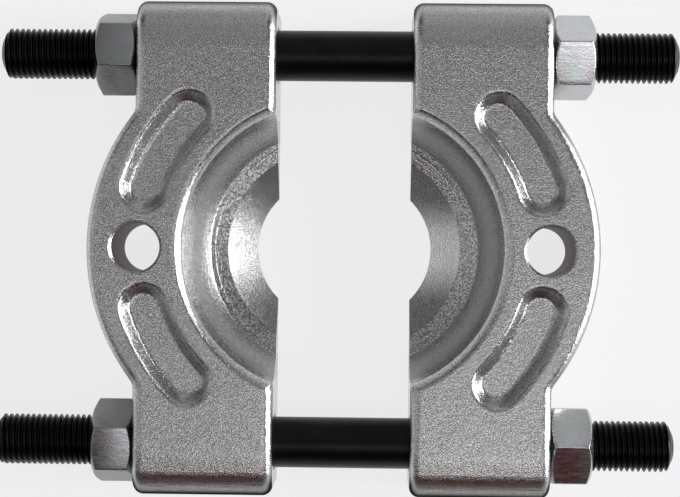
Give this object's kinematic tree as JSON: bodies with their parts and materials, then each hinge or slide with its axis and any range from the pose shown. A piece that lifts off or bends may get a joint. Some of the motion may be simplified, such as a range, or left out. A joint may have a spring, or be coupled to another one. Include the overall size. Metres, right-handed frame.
{
  "type": "bearing separator",
  "caption": "Two-piece bearing separator: bevelled forged halves that slide on two threaded studs and are drawn together by hexagon nuts.",
  "frame": {"origin": "centre of the opening between the two halves, on the plane of their flat back faces", "axes": "+X along the studs towards the right half, +Y along the halves towards the upper stud, +Z out of the bevelled front face"},
  "size_m": [0.2419, 0.174, 0.032],
  "materials": {
    "plated_forging": "satin",
    "black_oxide_steel": "satin",
    "zinc_plated_steel": "satin"
  },
  "bodies": {
    "studs": {"upper_stud": "black_oxide_steel", "lower_stud": "black_oxide_steel"},
    "left_half_body": {"left_half": "plated_forging"},
    "right_half_body": {"right_half": "plated_forging"},
    "upper_left_nut_body": {"upper_left_nut": "zinc_plated_steel"},
    "lower_left_nut_body": {"lower_left_nut": "zinc_plated_steel"},
    "upper_right_nut_body": {"upper_right_nut": "zinc_plated_steel"},
    "lower_right_nut_body": {"lower_right_nut": "zinc_plated_steel"}
  },
  "joints": [
    {"name": "left_half_slide", "type": "slide", "parent": "studs", "child": "left_half_body", "axis": [1, 0, 0], "range_m": [-0.034, 0.024]},
    {"name": "right_half_slide", "type": "slide", "parent": "studs", "child": "right_half_body", "axis": [-1, 0, 0], "range_m": [-0.029, 0.024]},
    {"name": "upper_left_nut_turn", "type": "hinge", "parent": "left_half_body", "child": "upper_left_nut_body", "pos_m": [-0.0806, 0.069, 0.016], "axis": [1, 0, 0], "range_deg": [-6120, 4320]},
    {"name": "lower_left_nut_turn", "type": "hinge", "parent": "left_half_body", "child": "lower_left_nut_body", "pos_m": [-0.0806, -0.069, 0.016], "axis": [1, 0, 0], "range_deg": [-6120, 4320]},
    {"name": "upper_right_nut_turn", "type": "hinge", "parent": "right_half_body", "child": "upper_right_nut_body", "pos_m": [0.0806, 0.069, 0.016], "axis": [-1, 0, 0], "range_deg": [-5220, 4320]},
    {"name": "lower_right_nut_turn", "type": "hinge", "parent": "right_half_body", "child": "lower_right_nut_body", "pos_m": [0.0806, -0.069, 0.016], "axis": [-1, 0, 0], "range_deg": [-5220, 4320]}
  ],
  "couplings": [
    {"joint": "upper_left_nut_turn", "follows": "left_half_slide", "rad_per_m": 3141.6},
    {"joint": "lower_left_nut_turn", "follows": "left_half_slide", "rad_per_m": 3141.6},
    {"joint": "upper_right_nut_turn", "follows": "right_half_slide", "rad_per_m": 3141.6},
    {"joint": "lower_right_nut_turn", "follows": "right_half_slide", "rad_per_m": 3141.6}
  ]
}
